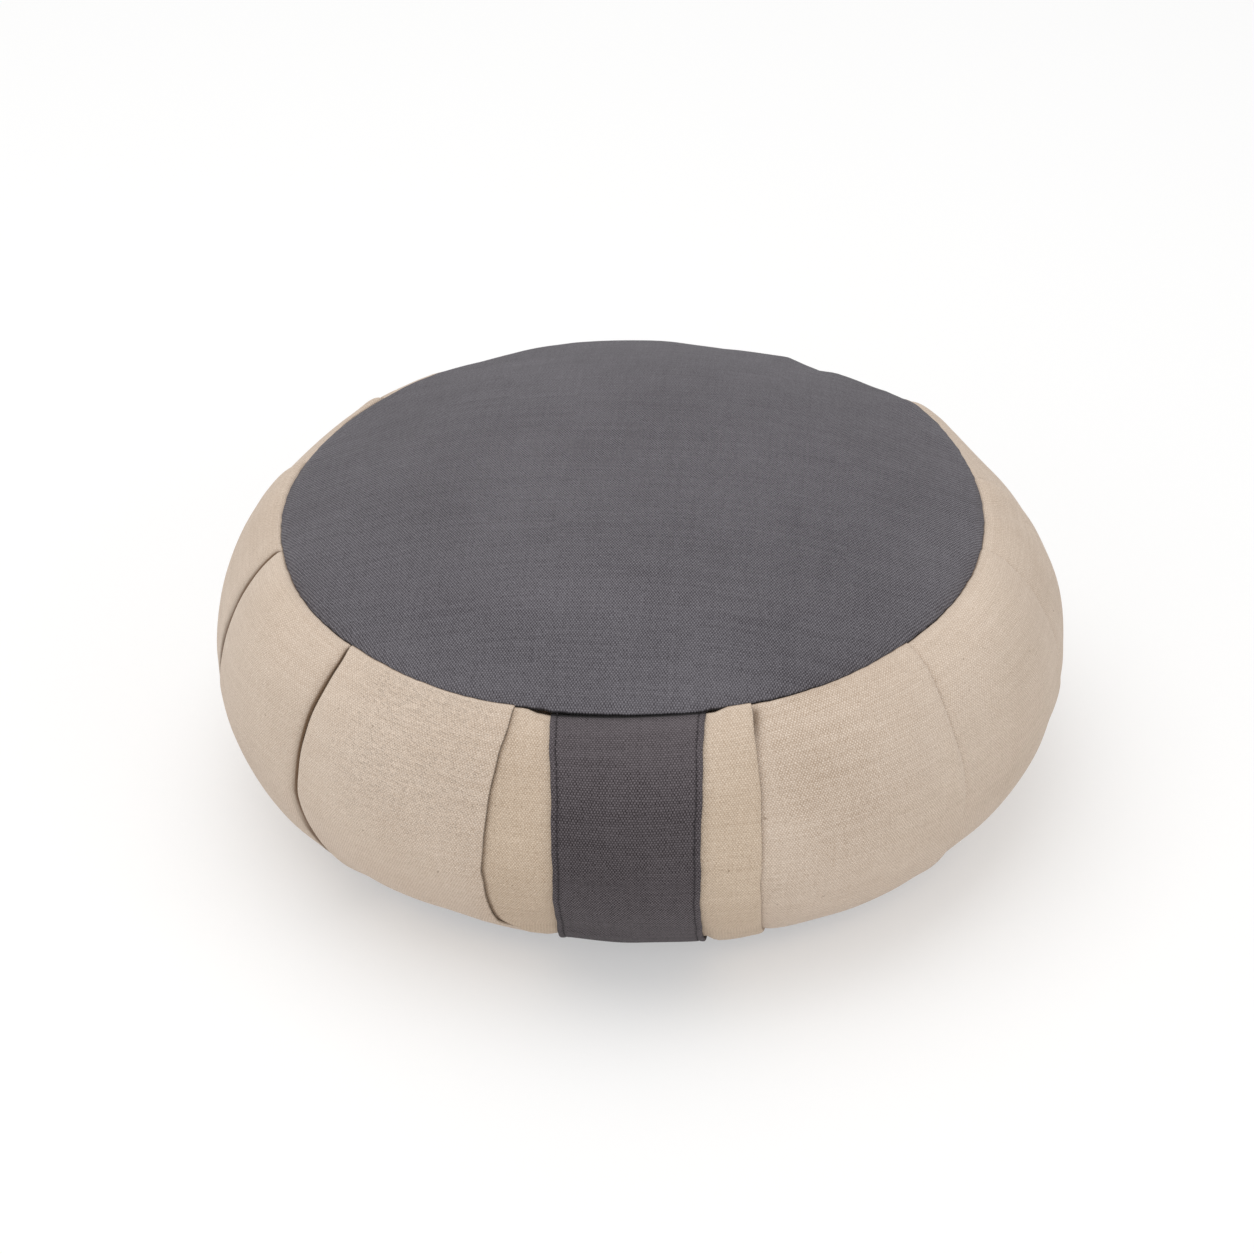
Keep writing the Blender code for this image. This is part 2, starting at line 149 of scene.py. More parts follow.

# One fold from the upper layer, over its edge, back under it and out on the lower layer. Across is
# millimetres past the edge. The height there is made of shares of the step, the lip and the dip, and the
# shade is how much shade is painted into the crease there.
FOLD = (
    # across, of the step, of the lip, of the dip, shade, layer
    (-14.0, 1.0, 0.0, 0.0, 0.0, -1),
    (-9.0, 1.0, 0.25, 0.0, 0.0, -1),
    (-5.5, 1.0, 0.7, 0.0, 0.0, -1),
    (-3.2, 1.0, 1.0, 0.0, 0.0, -1),
    (-1.7, 0.97, 0.9, 0.0, 0.0, -1),
    (-0.8, 0.88, 0.55, 0.0, 0.0, -1),
    (-0.25, 0.7, 0.2, 0.0, 0.05, -1),
    (0.0, 0.48, 0.0, 0.0, 0.25, 0),
    (-0.12, 0.26, 0.0, -0.05, 0.6, 0),
    (-0.6, 0.1, 0.0, -0.2, 1.0, 0),
    (-1.6, 0.04, 0.0, -0.45, 1.0, 0),
    (-3.2, 0.02, 0.0, -0.7, 1.0, 0),
    (-3.6, 0.0, 0.0, -0.85, 1.0, 0),
    (-3.0, 0.0, 0.0, -1.05, 1.0, 0),
    (-1.4, 0.0, 0.0, -1.12, 1.0, 0),
    (-0.2, 0.0, 0.0, -1.08, 1.0, 0),
    (0.6, 0.0, 0.0, -0.97, 1.0, 0),
    (1.2, 0.0, 0.0, -0.8, 0.4, 1),
    (1.9, 0.0, 0.0, -0.58, 0.17, 1),
    (2.4, 0.0, 0.0, -0.46, 0.09, 1),
    (3.0, 0.0, 0.0, -0.34, 0.045, 1),
    (5.0, 0.0, 0.0, -0.13, 0.012, 1),
    (8.5, 0.0, 0.0, -0.02, 0.003, 1),
    (14.0, 0.0, 0.0, 0.0, 0.0, 1),
)
FOLD_END = 14.0

# Unevenness of the top seam at the back, where the round panel makes the outline
SEAM_UNEVEN = (
    # degrees, rise in millimetres
    (-170.0, 0.5), (-162.0, -0.2), (-152.0, -0.8), (-143.0, 0.8), (-132.0, 0.2), (-118.0, 0.0), (0.0, 0.0),
    (98.0, 0.0), (106.0, 0.8), (113.0, 1.9), (119.0, 3.4), (123.0, 4.2), (126.0, 2.9), (130.0, 1.7),
    (133.0, 0.6), (138.0, -0.1), (141.0, -0.4), (144.0, -2.5), (147.0, -1.9), (151.0, 0.3), (156.0, -0.8),
    (163.0, -2.2), (170.0, -1.5), (177.0, -0.3),
)

# Soft creases and ridges of the band: start and end as degrees and share of the way down, then the
# half-width and the height in millimetres
CREASES = (
    # name, from angle, from down, to angle, to down, half-width, height
    ("right of strip, at seam", 19.5, 0.03, 26.0, 0.1, 3.5, -0.9),
    ("right of strip, trough", 18.0, 0.1, 19.5, 0.34, 4.5, -0.8),
    ("right of strip, ridge", 21.0, 0.13, 26.5, 0.26, 4.0, 0.5),
    ("right panel, dimple", 37.6, 0.02, 38.6, 0.1, 2.2, -0.55),
    ("right panel, dimple, lower", 37.0, 0.15, 38.4, 0.22, 1.8, -0.22),
    ("left panel, ridge", -43.0, 0.1, -46.0, 0.26, 7.0, 0.5),
    ("far left panel, trough", -60.0, 0.08, -55.0, 0.16, 8.0, -0.7),
    ("far left panel, rib", -53.0, 0.42, -53.2, 0.72, 1.9, 0.8),
    ("left panel, rib", -21.6, 0.52, -21.0, 0.78, 1.7, 0.5),
    ("front right, ridge", 44.6, 0.3, 44.4, 0.52, 1.6, 0.4),
    ("right panel, fold to seam", 46.5, 0.03, 53.0, 0.14, 2.6, -0.35),
    ("rear panel, fold", 90.0, 0.03, 93.0, 0.22, 5.0, -0.8),
    ("back panel, fold", -175.0, 0.03, -172.0, 0.25, 5.0, -0.8),
    ("back panel, low fold", 160.0, 0.97, 158.0, 0.78, 5.0, -0.8),
    ("left rear, low fold", -120.0, 0.97, -118.0, 0.8, 5.0, -0.7),
)


# Shape of the cushion

def smooth(value):
    value = np.clip(value, 0.0, 1.0)
    return value * value * (3.0 - 2.0 * value)


def through(values, share):
    """The smooth run through three values, at shares 0, a half and 1."""
    first, middle, last = values
    start = first * (1.0 - share) * (1.0 - 2.0 * share)
    end = last * share * (2.0 * share - 1.0)
    return start + middle * 4.0 * share * (1.0 - share) + end


def along_path(points, down):
    """The smooth run through a path's points, read at the shares of the way down."""
    places = np.array(points)
    at, value = places[:, 0], places[:, 1]
    slope = np.gradient(value, at)
    start = np.clip(np.searchsorted(at, down, side="right") - 1, 0, len(at) - 2)
    span = at[start + 1] - at[start]
    share = (down - at[start]) / span
    bend = value[start] * (1 + 2 * share) * (1 - share) ** 2
    bend = bend + value[start + 1] * share ** 2 * (3 - 2 * share)
    return bend + span * share * (1 - share) * (slope[start] * (1 - share) - slope[start + 1] * share)


def quarters(values, down):
    """The smooth run through three values, at a quarter, a half and three quarters of the way down."""
    return through(values, np.clip((down - 0.25) * 2.0, -0.4, 1.4))


def degrees_past(angle, aim):
    """How many degrees an angle lies past an aim, from -180 to 180."""
    return (np.degrees(angle) - aim + 180.0) % 360.0 - 180.0


def close_to(angle, aim, width):
    """1 at the aim and less on both sides of it, both given in degrees."""
    return np.exp(-((np.degrees(angle) - aim) / width) ** 2)


def outward_at(angle):
    return np.stack([np.sin(angle), -np.cos(angle), 0.0 * angle], -1)


def behind_strip(angle):
    return smooth((24.0 - np.abs(np.degrees(angle) - STRIP_AIM[1])) / 22.0)


def under_strip(angle):
    return smooth((16.0 - np.abs(np.degrees(angle) - STRIP_AIM[0])) / 3.5)


def at_strip_end(angle):
    return smooth((12.6 - np.abs(np.degrees(angle) - STRIP_AIM[0])) / 1.3)


def behind(angle):
    return smooth((50.0 - np.abs(degrees_past(angle, BACK_AIM))) / 13.0)


def ring_point(angle, radius, x, y, z):
    right = MIDDLE_RIGHT + x + radius * np.sin(angle)
    back = MIDDLE_BACK + y - radius * np.cos(angle)
    return np.stack([right, back, z + 0.0 * angle], -1)


def seam_rise(angle):
    lean = SEAM_RISE_RIGHT * np.sin(angle) - SEAM_RISE_BACK * np.cos(angle)
    return lean + BACK_RISE * behind(angle)


def seam_uneven(angle):
    places = np.array(SEAM_UNEVEN)
    return np.interp(np.degrees(angle), places[:, 0], places[:, 1], period=360.0) * MM


def seam_radius(angle):
    return SEAM_RADIUS - STRIP_FLAT_TOP * behind_strip(angle)


def seam_waver(angle):
    """The small unevenness of hand-guided sewing, in metres."""
    fine = np.sin(47 * angle + 0.7) + 0.8 * np.sin(83 * angle + 2.1) + 1.2 * np.sin(129 * angle + 4.0)
    return 0.00009 * fine + 0.00022 * np.sin(11 * angle + 1.3)


def side_point(angle, down):
    top = ring_point(angle, seam_radius(angle), SEAM_RIGHT, SEAM_BACK, SEAM_HEIGHT + seam_rise(angle))
    top[..., 2] += seam_uneven(angle)
    wide = ring_point(angle, SIDE_RADIUS, 0.0, SIDE_BACK, SIDE_HEIGHT)
    low = ring_point(angle, BASE_RADIUS, 0.0, 0.0, BASE_HEIGHT)
    turn = math.pi / 2 * np.abs(1.0 - 2.0 * down)
    above = down < 0.5
    power = 2.0 / np.where(above, UPPER_ROUND, LOWER_ROUND)
    outward = np.clip(np.cos(turn), 0.0, 1.0) ** power
    upward = np.clip(np.sin(turn), 0.0, 1.0) ** power
    seam = np.where(above[..., None], top, low)
    point = seam + (wide - seam) * outward[..., None]
    point[..., 2] = wide[..., 2] + (seam[..., 2] - wide[..., 2]) * upward
    return point


def side_normal(angle, down):
    centre = np.clip(down, 0.006, 0.994)
    around = side_point(angle + 0.01, centre) - side_point(angle - 0.01, centre)
    along = side_point(angle, centre + 0.004) - side_point(angle, centre - 0.004)
    normal = np.cross(along, around)
    return normal / np.linalg.norm(normal, axis=-1, keepdims=True)


def side_girth(angle, down):
    point = side_point(angle, down)
    return np.hypot(point[..., 0], point[..., 1])


def waist(down):
    return np.sin(math.pi * np.clip(down, 0.0, 1.0))


def puff(row, share, down):
    across = np.sin(math.pi * np.clip(share, 0.0, 1.0)) ** 0.8
    return quarters(row.puff, down) * MM * across * waist(down) ** 0.8


def pressed_in(angle, down):
    low = STRIP_FLAT_LOW * smooth((down - 0.5) / 0.3) * smooth((1.0 - down) / 0.12)
    pressed = behind_strip(angle) * (STRIP_FLAT_SIDE * waist(down) + low)
    ends = 1.0 - smooth(np.minimum(down, 1.0 - down) / 0.12)
    pressed = pressed + STRIP_DIP * under_strip(angle) * ends
    corner = CORNER_DROP * close_to(angle, 116.5, 6.0)
    back = (BACK_DROP * behind(angle) + corner) * smooth(down / 0.05) * smooth((0.5 - down) / 0.38)
    aside = (np.degrees(angle) - STRIP_AIM[2]) / 9.5
    left = aside < 0.0
    channel = np.where(left, *STRIP_CHANNEL) * under_strip(angle) * np.clip(aside ** 2, 0.0, 1.0)
    beyond = np.abs(np.radians(aside * 9.5)) * side_girth(angle, down) - STRIP_WIDTH / 2
    left_swell = smooth(beyond / 0.007) * smooth((0.050 - beyond) / 0.030)
    right_swell = smooth(beyond / 0.003) * smooth((0.022 - beyond) / 0.016)
    swell = np.where(left, FLANK_SWELL[0] * left_swell, FLANK_SWELL[1] * right_swell)
    low_part = smooth((down - 0.55) / 0.3) * smooth((1.0 - down) / 0.06)
    tuck = SEAM_TUCK * np.exp(-(down / 0.013) ** 2)
    return pressed + back + (channel - swell) * low_part + tuck + SIDE_SINK * waist(down)


def creases(angle, down):
    """Height of the soft creases and ridges."""
    height = 0.0 * angle
    for name, angle_a, down_a, angle_b, down_b, width, tall in CREASES:
        x = np.radians(degrees_past(angle, angle_a)) * side_girth(np.radians(angle_a), np.array(down_a))
        y = (down - down_a) * SIDE_LENGTH
        end_x = math.radians(angle_b - angle_a) * MEAN_GIRTH
        end_y = (down_b - down_a) * SIDE_LENGTH
        length = math.hypot(end_x, end_y)
        along = (x * end_x + y * end_y) / length
        aside = (x * end_y - y * end_x) / length
        taper = smooth((along / length + 0.15) / 0.3) * smooth((1.15 - along / length) / 0.4)
        height = height + tall * MM * taper * np.exp(-(aside / (width * MM)) ** 2)
    return height


def edge_angle(row, down):
    """Where the fold's edge runs, with the small unevenness of a fold laid by hand."""
    own = row.path[0][1]
    waver = np.sin(33.0 * down + own) + 0.7 * np.sin(57.0 * down + 2.0 * own)
    return np.radians(along_path(row.path, down) + EDGE_WAVER_DEGREES * waver)


def step_height(row, down):
    return SEAM_STEP + (row.step * MM - SEAM_STEP) * waist(down) ** 0.6


def turned(row, down):
    """How far the fold has changed side there, from 0 to 1."""
    if not row.turns_at:
        return 0.0 * down
    return smooth((down - row.turns_at) / TURN_SHARE + 0.5)


def fold_profile(row, down):
    """Across and height in metres, shade and layer of each column of one fold, at every level."""
    across, of_step, of_lip, of_dip, dark, layer = np.array(FOLD).T[:, :, None]
    near_seam = smooth(np.minimum(down, 1.0 - down) / 0.05)
    opened = 0.35 + 0.65 * smooth(np.minimum(down, 1.0 - down) / 0.035)
    further = quarters(row.reach, down) * (1.0 - np.exp(-across / 0.8))
    further = further * smooth((FOLD_END - across) / 9.0)
    across = np.where(across > 0.0, across + further, across * np.where(across > -3.7, opened, 1.0)) * MM
    dip = quarters(row.dip, down) * MM * near_seam
    height = of_step * step_height(row, down) + of_lip * row.lip * MM * near_seam + of_dip * dip
    # The shade painted into the crease beside the fold's edge
    shade = np.maximum(along_path(row.shade, down), 0.0)
    dark = np.clip(dark * shade * near_seam, 0.0, 1.0)
    layer = layer + 0.0 * down
    if row.lap < 0:
        across, height, dark, layer = -across[::-1], height[::-1], dark[::-1], -layer[::-1]
    turn = turned(row, down)
    across = across - (across[::-1] + across) * turn
    height = height + (height[::-1] - height) * turn
    dark = dark + (dark[::-1] - dark) * turn
    return across, height, dark, layer


def ends_high(row, down, side):
    """How far the panel on one side of a pleat (-1 or 1) stands on the step there."""
    share = 1.0 if row.lap * side < 0 else 0.0
    return step_height(row, down) * (share + (1.0 - 2.0 * share) * turned(row, down))


def band_columns(down, spans=15, strip_spans=24):
    """Angle, height, shade, cloth position, panel number and layer of the band's columns at every level."""
    angles, heights, shades, runs, panels, layers = [], [], [], [], [], []
    count = len(PLEATS)
    for index, row in enumerate(PLEATS):
        before = PLEATS[index - 1]
        after = PLEATS[(index + 1) % count]
        edge = edge_angle(row, down)
        edge_before = edge_angle(before, down) - (2.0 * math.pi if index == 0 else 0.0)
        edge_after = edge_angle(after, down) + (2.0 * math.pi if index == count - 1 else 0.0)
        girth = side_girth(edge, down)
        for across, height, dark, layer in zip(*fold_profile(row, down)):
            angle = edge + across / girth
            left = puff(before, (angle - edge_before) / (edge - edge_before), down)
            right = puff(row, (angle - edge) / (edge_after - edge), down)
            middle = (edge + np.where(layer < 0.0, edge_before, edge_after)) / 2
            angles.append(angle)
            heights.append(height + np.where(layer < 0.0, left, np.where(layer > 0.0, right, 0.0)))
            shades.append(dark)
            runs.append((angle - middle) * girth)
            panels.append((index + (layer >= 0.0)) % count)
            layers.append(layer)
        start = edge + FOLD_END * MM / girth
        end = edge_after - FOLD_END * MM / side_girth(edge_after, down)
        inner = strip_spans if row.name == "beside strip, left" else spans
        for place in range(1, inner + 1):
            share = place / (inner + 1.0)
            angle = start + (end - start) * share
            low, high = ends_high(row, down, 1), ends_high(after, down, -1)
            angles.append(angle)
            puffed = puff(row, (angle - edge) / (edge_after - edge), down)
            heights.append(low + (high - low) * smooth(share) + puffed)
            shades.append(0.0 * angle)
            runs.append((angle - (edge + edge_after) / 2) * side_girth(angle, down))
            panels.append(np.full(len(down), (index + 1) % count))
            layers.append(np.ones(len(down)))
    return [np.array(part, float) for part in (angles, heights, shades, runs, panels, layers)]


def visible_height(angle, down):
    """Height of the outermost cloth at rows of angles, one column for each level."""
    angles, heights, _, _, _, layers = band_columns(down)
    height = np.zeros(angle.shape)
    for place in range(len(down)):
        outer = np.abs(layers[:, place]) == 1.0
        known, value = angles[outer, place], heights[outer, place]
        height[:, place] = np.interp(angle[:, place], known, value, period=2.0 * math.pi)
    return height


def band_points(angle, height, down, settled):
    calm = 1.0 - 0.7 * under_strip(angle)
    lift = height - pressed_in(angle, down) + (creases(angle, down) + settled.side(angle, down)) * calm
    return side_point(angle, down) + side_normal(angle, down) * lift[..., None]


def crown_point(angle, distance, depth):
    share = np.clip(distance / seam_radius(angle), 0.0, 1.0)
    rise = seam_rise(angle) * share + CROWN * (1.0 - share ** CROWN_POWER) + seam_uneven(angle) * share ** 9
    return ring_point(angle, distance, SEAM_RIGHT, SEAM_BACK, SEAM_HEIGHT + rise - depth)


def base_point(angle, distance, lift):
    share = np.clip((distance / BASE_RADIUS - BASE_FLAT) / (1.0 - BASE_FLAT), 0.0, 1.0)
    return ring_point(angle, distance, 0.0, 0.0, BASE_HEIGHT * share ** BASE_POWER + lift)


# Building meshes from grids of points

def add_object(name, data):
    """A new object with the data, linked to the scene."""
    made = bpy.data.objects.new(name, data)
    bpy.context.scene.collection.objects.link(made)
    return made


def grid_mesh(name, points, uv, first_pole=None, last_pole=None, marks=None):
    """A mesh from rows of points that run round and close, with a point at either end where given."""
    rows, columns = points.shape[:2]
    index = np.arange(rows * columns).reshape(rows, columns)
    following = (np.arange(columns) + 1) % columns
    corners = [index[:-1], index[:-1][:, following], index[1:][:, following], index[1:]]
    faces = np.stack(corners, -1).reshape(-1, 4).tolist()
    vertices = points.reshape(-1, 3).tolist()
    if first_pole is not None:
        vertices.append(list(first_pole))
        faces += [[len(vertices) - 1, int(b), int(a)] for a, b in zip(index[0], index[0][following])]
    if last_pole is not None:
        vertices.append(list(last_pole))
        faces += [[len(vertices) - 1, int(a), int(b)] for a, b in zip(index[-1], index[-1][following])]
    mesh = bpy.data.meshes.new(name)
    mesh.from_pydata(vertices, [], faces)
    loops = np.zeros(len(mesh.loops), dtype=np.int32)
    mesh.loops.foreach_get("vertex_index", loops)
    ends = [ring for ring, pole in ((0, first_pole), (-1, last_pole)) if pole is not None]
    flat = np.concatenate([uv.reshape(-1, 2)] + [uv[ring].mean(0, keepdims=True) for ring in ends])
    mesh.uv_layers.new(name="cloth").data.foreach_set("uv", flat[loops].ravel().astype(np.float32))
    for key, values in (marks or {}).items():
        full = np.concatenate([values.ravel()] + [values[ring, :1] for ring in ends])
        mesh.attributes.new(key, "FLOAT", "POINT").data.foreach_set("value", full.astype(np.float32))
    mesh.polygons.foreach_set("use_smooth", [True] * len(mesh.polygons))
    shape = bmesh.new()
    shape.from_mesh(mesh)
    if shape.calc_volume(signed=True) < 0.0:
        mesh.flip_normals()
    shape.free()
    return add_object(name, mesh)


def levels(count, crowd):
    """Shares of the way down, closer together near both ends."""
    even = np.linspace(0.0, 1.0, count)
    return even - crowd * np.sin(2.0 * math.pi * even) / (2.0 * math.pi)


# Cloth simulation of the filled cover

COVER_COLUMNS = 288
COVER_LEVELS = 36
COVER_RINGS = 16
COVER_FRAMES = 20
COVER_START_IN = 0.0012
COVER_PRESSURE = 4.0
COVER_SLACK = 0.022
PLEAT_HOLD_DEGREES = 0.8
PLEAT_HOLD = 0.7
WAVE_SHARE = 0.4
MOVE_LIMIT = 0.0014


class Settled:
    """How far the filled cloth moves in or out beside its smooth shape, on an even grid."""

    def __init__(self, field):
        self.field = field

    def read(self, angle, row):
        columns, rows = self.field.shape
        place = (angle / (2.0 * math.pi) + 0.5) * columns
        row = np.clip(row, 0.0, rows - 1.0)
        low_column = np.floor(place).astype(int)
        low_row = np.minimum(np.floor(row).astype(int), rows - 2)
        across, down = place - low_column, row - low_row
        a, b = low_column % columns, (low_column + 1) % columns
        top = self.field[a, low_row] * (1.0 - across) + self.field[b, low_row] * across
        low = self.field[a, low_row + 1] * (1.0 - across) + self.field[b, low_row + 1] * across
        return top * (1.0 - down) + low * down

    def side(self, angle, down):
        return self.read(angle, COVER_RINGS + down * COVER_LEVELS)

    def crown(self, angle, share):
        return self.read(angle, share * COVER_RINGS)


def soften(field, times):
    """The field without its small waves."""
    for _ in range(times):
        field = (np.roll(field, 1, 0) + 2.0 * field + np.roll(field, -1, 0)) / 4.0
        inner = (field[:, :-2] + 2.0 * field[:, 1:-1] + field[:, 2:]) / 4.0
        field = np.concatenate([field[:, :1], inner, field[:, -1:]], axis=1)
    return field


def settle_cover():
    """Fill a plain cover, sewn at its seams and pleats, and keep the small waves of its cloth."""
    still = Settled(np.zeros((COVER_COLUMNS, COVER_RINGS + COVER_LEVELS + 1)))
    around = (np.arange(COVER_COLUMNS) / COVER_COLUMNS - 0.5) * 2.0 * math.pi
    share = np.arange(1, COVER_RINGS) / COVER_RINGS
    down = np.linspace(0.0, 1.0, COVER_LEVELS + 1)
    angle, level = np.meshgrid(around, down, indexing="ij")
    height = visible_height(angle, down) - COVER_START_IN * waist(level)
    side = band_points(angle, height, level, still)
    crown_angle, crown_share = np.meshgrid(around, share, indexing="ij")
    crown = crown_point(crown_angle, crown_share * seam_radius(crown_angle), 0.0)
    start = np.concatenate([crown, side], axis=1)
    centre = crown_point(np.zeros(1), np.zeros(1), 0.0)[0]
    rows = start.transpose(1, 0, 2)
    cover = grid_mesh("settling_cover", rows, rows[..., :2], first_pole=centre)
    count = rows.shape[0]
    sewn = np.zeros(rows.shape[:2])
    sewn[[COVER_RINGS - 1, count - 1]] = 1.0
    for row in PLEATS:
        away = np.abs(degrees_past(angle - edge_angle(row, level), 0.0))
        held = (away < PLEAT_HOLD_DEGREES) * PLEAT_HOLD
        sewn[COVER_RINGS - 1:] = np.maximum(sewn[COVER_RINGS - 1:], held.T)
    group = cover.vertex_groups.new(name="sewn")
    for number, weight in enumerate(sewn.ravel()):
        if weight > 0.0:
            group.add([number], float(weight), "REPLACE")
    normals = np.array([v.normal for v in cover.data.vertices])[:sewn.size].reshape(rows.shape)
    modifier = cover.modifiers.new("filling", "CLOTH")
    cloth = modifier.settings
    cloth.quality = 6
    cloth.mass = 0.3
    cloth.tension_stiffness = 25.0
    cloth.compression_stiffness = 25.0
    cloth.shear_stiffness = 12.0
    cloth.bending_stiffness = 0.6
    cloth.use_pressure = True
    cloth.uniform_pressure_force = COVER_PRESSURE
    cloth.effector_weights.gravity = 0.0
    cloth.shrink_min = -COVER_SLACK
    cloth.vertex_group_mass = "sewn"
    for number in range(1, COVER_FRAMES + 1):
        bpy.context.scene.frame_set(number)
    after = cover.evaluated_get(bpy.context.evaluated_depsgraph_get())
    places = np.array([v.co for v in after.data.vertices])[:sewn.size].reshape(rows.shape)
    bpy.context.scene.frame_set(1)
    bpy.data.objects.remove(cover, do_unlink=True)
    moved = ((places - rows) * normals).sum(-1).T
    moved = np.concatenate([np.repeat(moved[:, :1].mean(0, keepdims=True), COVER_COLUMNS, 0), moved], axis=1)
    waves = WAVE_SHARE * (soften(moved, 3) - soften(moved, 60))
    return Settled(MOVE_LIMIT * np.tanh(waves / MOVE_LIMIT))


# The pieces

BACK_TUCK = 0.0010
# How much shade is painted low on the side
LOW_PAINTED_SHADE = 0.16
PANEL_SHIFT = 0.31
STRIP_PANEL = 6


def slant_creased(angle, down):
    """Where the cloth has short slanting creases: the upper part of the panel left of the strip."""
    across = np.exp(-((np.degrees(angle) + 31.0) / 13.0) ** 4)
    return across * smooth((0.62 - down) / 0.35) * smooth(down / 0.04)


def taut(angle, down):
    """How much the weave's contrast grows: more beside the strip and right of it, less low on the side."""
    degrees = np.degrees(angle)
    beside = 0.25 * smooth((24.0 - np.abs(degrees - STRIP_AIM[0])) / 4.0)
    right = 0.5 * smooth((degrees - 17.0) / 2.0) * smooth((44.0 - degrees) / 20.0)
    right = right * smooth((0.65 - down) / 0.4)
    return np.maximum(beside, right) - 0.8 * smooth((down - 0.6) / 0.3)


def build_band(settled):
    """The pleated body: the folded side, rolled into both seams and closed under the round panels."""
    down = levels(86, 0.55)
    angles, heights, shades, run, panel, _ = band_columns(down)
    level = np.broadcast_to(down, angles.shape)
    from_seam = np.minimum(level, 1.0 - level)
    band = band_points(angles, heights, level, settled)
    band = band + outward_at(angles) * (seam_waver(angles) * smooth(1.0 - from_seam / 0.04))[..., None]
    corner = close_to(angles, 122.0, 10.0)
    band[..., 2] -= BACK_TUCK * np.maximum(behind(angles), 1.3 * corner) * smooth(1.0 - level / 0.1)
    # Painted shade along both seams, full at the front and faint towards the back
    facing = 0.12 + 0.88 * smooth((95.0 - np.abs(np.degrees(angles))) / 35.0)
    shades = np.maximum(shades, 0.9 * facing * np.exp(-(from_seam / (0.003 + 0.002 * facing)) ** 2))
    # Painted shade, growing lower down the side
    shades = np.maximum(shades, LOW_PAINTED_SHADE * smooth((level - 0.35) / 0.45))
    steps = np.linalg.norm(np.diff(band, axis=1), axis=-1)
    drop = np.concatenate([[0.0], np.cumsum(np.median(steps, axis=0))])
    lateral = run + panel * PANEL_SHIFT
    rings, uvs, marks, slant_creases, warm, tauts = [], [], [], [], [], []

    def add(points, shade, place, v):
        rings.append(points)
        marks.append(shade + 0.0 * points[:, 0])
        uvs.append(np.stack([lateral[:, place], v + 0.0 * points[:, 0]], -1))
        slant_creases.append(slant_creased(angles[:, place], level[:, place]))
        warm.append((panel[:, place] == STRIP_PANEL) * (0.45 + 0.55 * smooth(level[:, place] / 0.4)))
        tauts.append(taut(angles[:, place], level[:, place]))

    def roll(seam, angle, sense, place, order):
        for inset, depth in order:
            point = seam - outward_at(angle) * inset * MM - np.array([0.0, 0.0, sense * depth * MM])
            # The rings turned into the seam are painted with shade, faint towards the back
            add(point, facing[:, place], place, drop[place] - sense * inset * MM)

    top, bottom = angles[:, 0], angles[:, -1]
    turn_in = ((1.1, 2.0), (0.85, 1.2), (0.5, 0.45), (0.2, 0.12))
    # The rings of the round panels' inner sides, out of sight, are painted with full shade
    for share in (0.2, 0.5, 0.8, 0.95):
        add(crown_point(top, share * SEAM_RADIUS + 0.0 * top, PANEL_DEPTH), 1.0, 0, -0.01)
    roll(band[:, 0], top, 1.0, 0, turn_in)
    for place in range(band.shape[1]):
        add(band[:, place], shades[:, place], place, drop[place])
    roll(band[:, -1], bottom, -1.0, -1, turn_in[::-1])
    for share in (0.95, 0.88, 0.8, 0.4):
        add(base_point(bottom, share * BASE_RADIUS + 0.0 * bottom, PANEL_DEPTH), 1.0, -1, drop[-1] + 0.01)
    first = crown_point(np.zeros(1), np.zeros(1), PANEL_DEPTH)[0]
    last = base_point(np.zeros(1), np.zeros(1), PANEL_DEPTH)[0]
    return grid_mesh("pleated_body_cloth", np.array(rings), np.array(uvs), first, last,
                     {"painted_shade": np.array(marks), "slant_creases": np.array(slant_creases), "warm": np.array(warm),
                      "taut": np.array(tauts)})


RIM_ROUND = ((0.0, 0.05), (0.1, 0.35), (0.05, 0.85), (-0.2, 1.45), (-0.8, 2.0))
RIM_LIFT = 0.0006


def build_round(name, columns, edge, shares, under_shares, point_at, sense):
    """A round panel: its face, its rim rolled into the seam and its plain inner side."""
    angle = np.linspace(-math.pi, math.pi, columns + 1)[:-1]
    edge = edge(angle)
    outward = outward_at(angle)
    rim = point_at(angle, edge, 0.0, 1.0)
    rings = [point_at(angle, share * edge, 0.0, share) for share in shares]
    rings += [rim + outward * out * MM - np.array([0.0, 0.0, sense * deep * MM]) for out, deep in RIM_ROUND]
    rings += [point_at(angle, share * edge, 0.0015, share) for share in under_shares]
    rings = np.array(rings)
    first = point_at(np.zeros(1), np.zeros(1), 0.0, 0.0)[0]
    last = point_at(np.zeros(1), np.zeros(1), 0.0015, 0.0)[0]
    # Painted shade: none on the face and the rim's first ring, a little on the next, full deeper in the seam
    # and on the inner side
    marks = np.zeros(rings.shape[:2])
    marks[len(shares):] = 1.0
    marks[len(shares):len(shares) + 2] = ((0.0,), (0.35,))
    return grid_mesh(name, rings, rings[..., :2], first, last, {"painted_shade": marks})


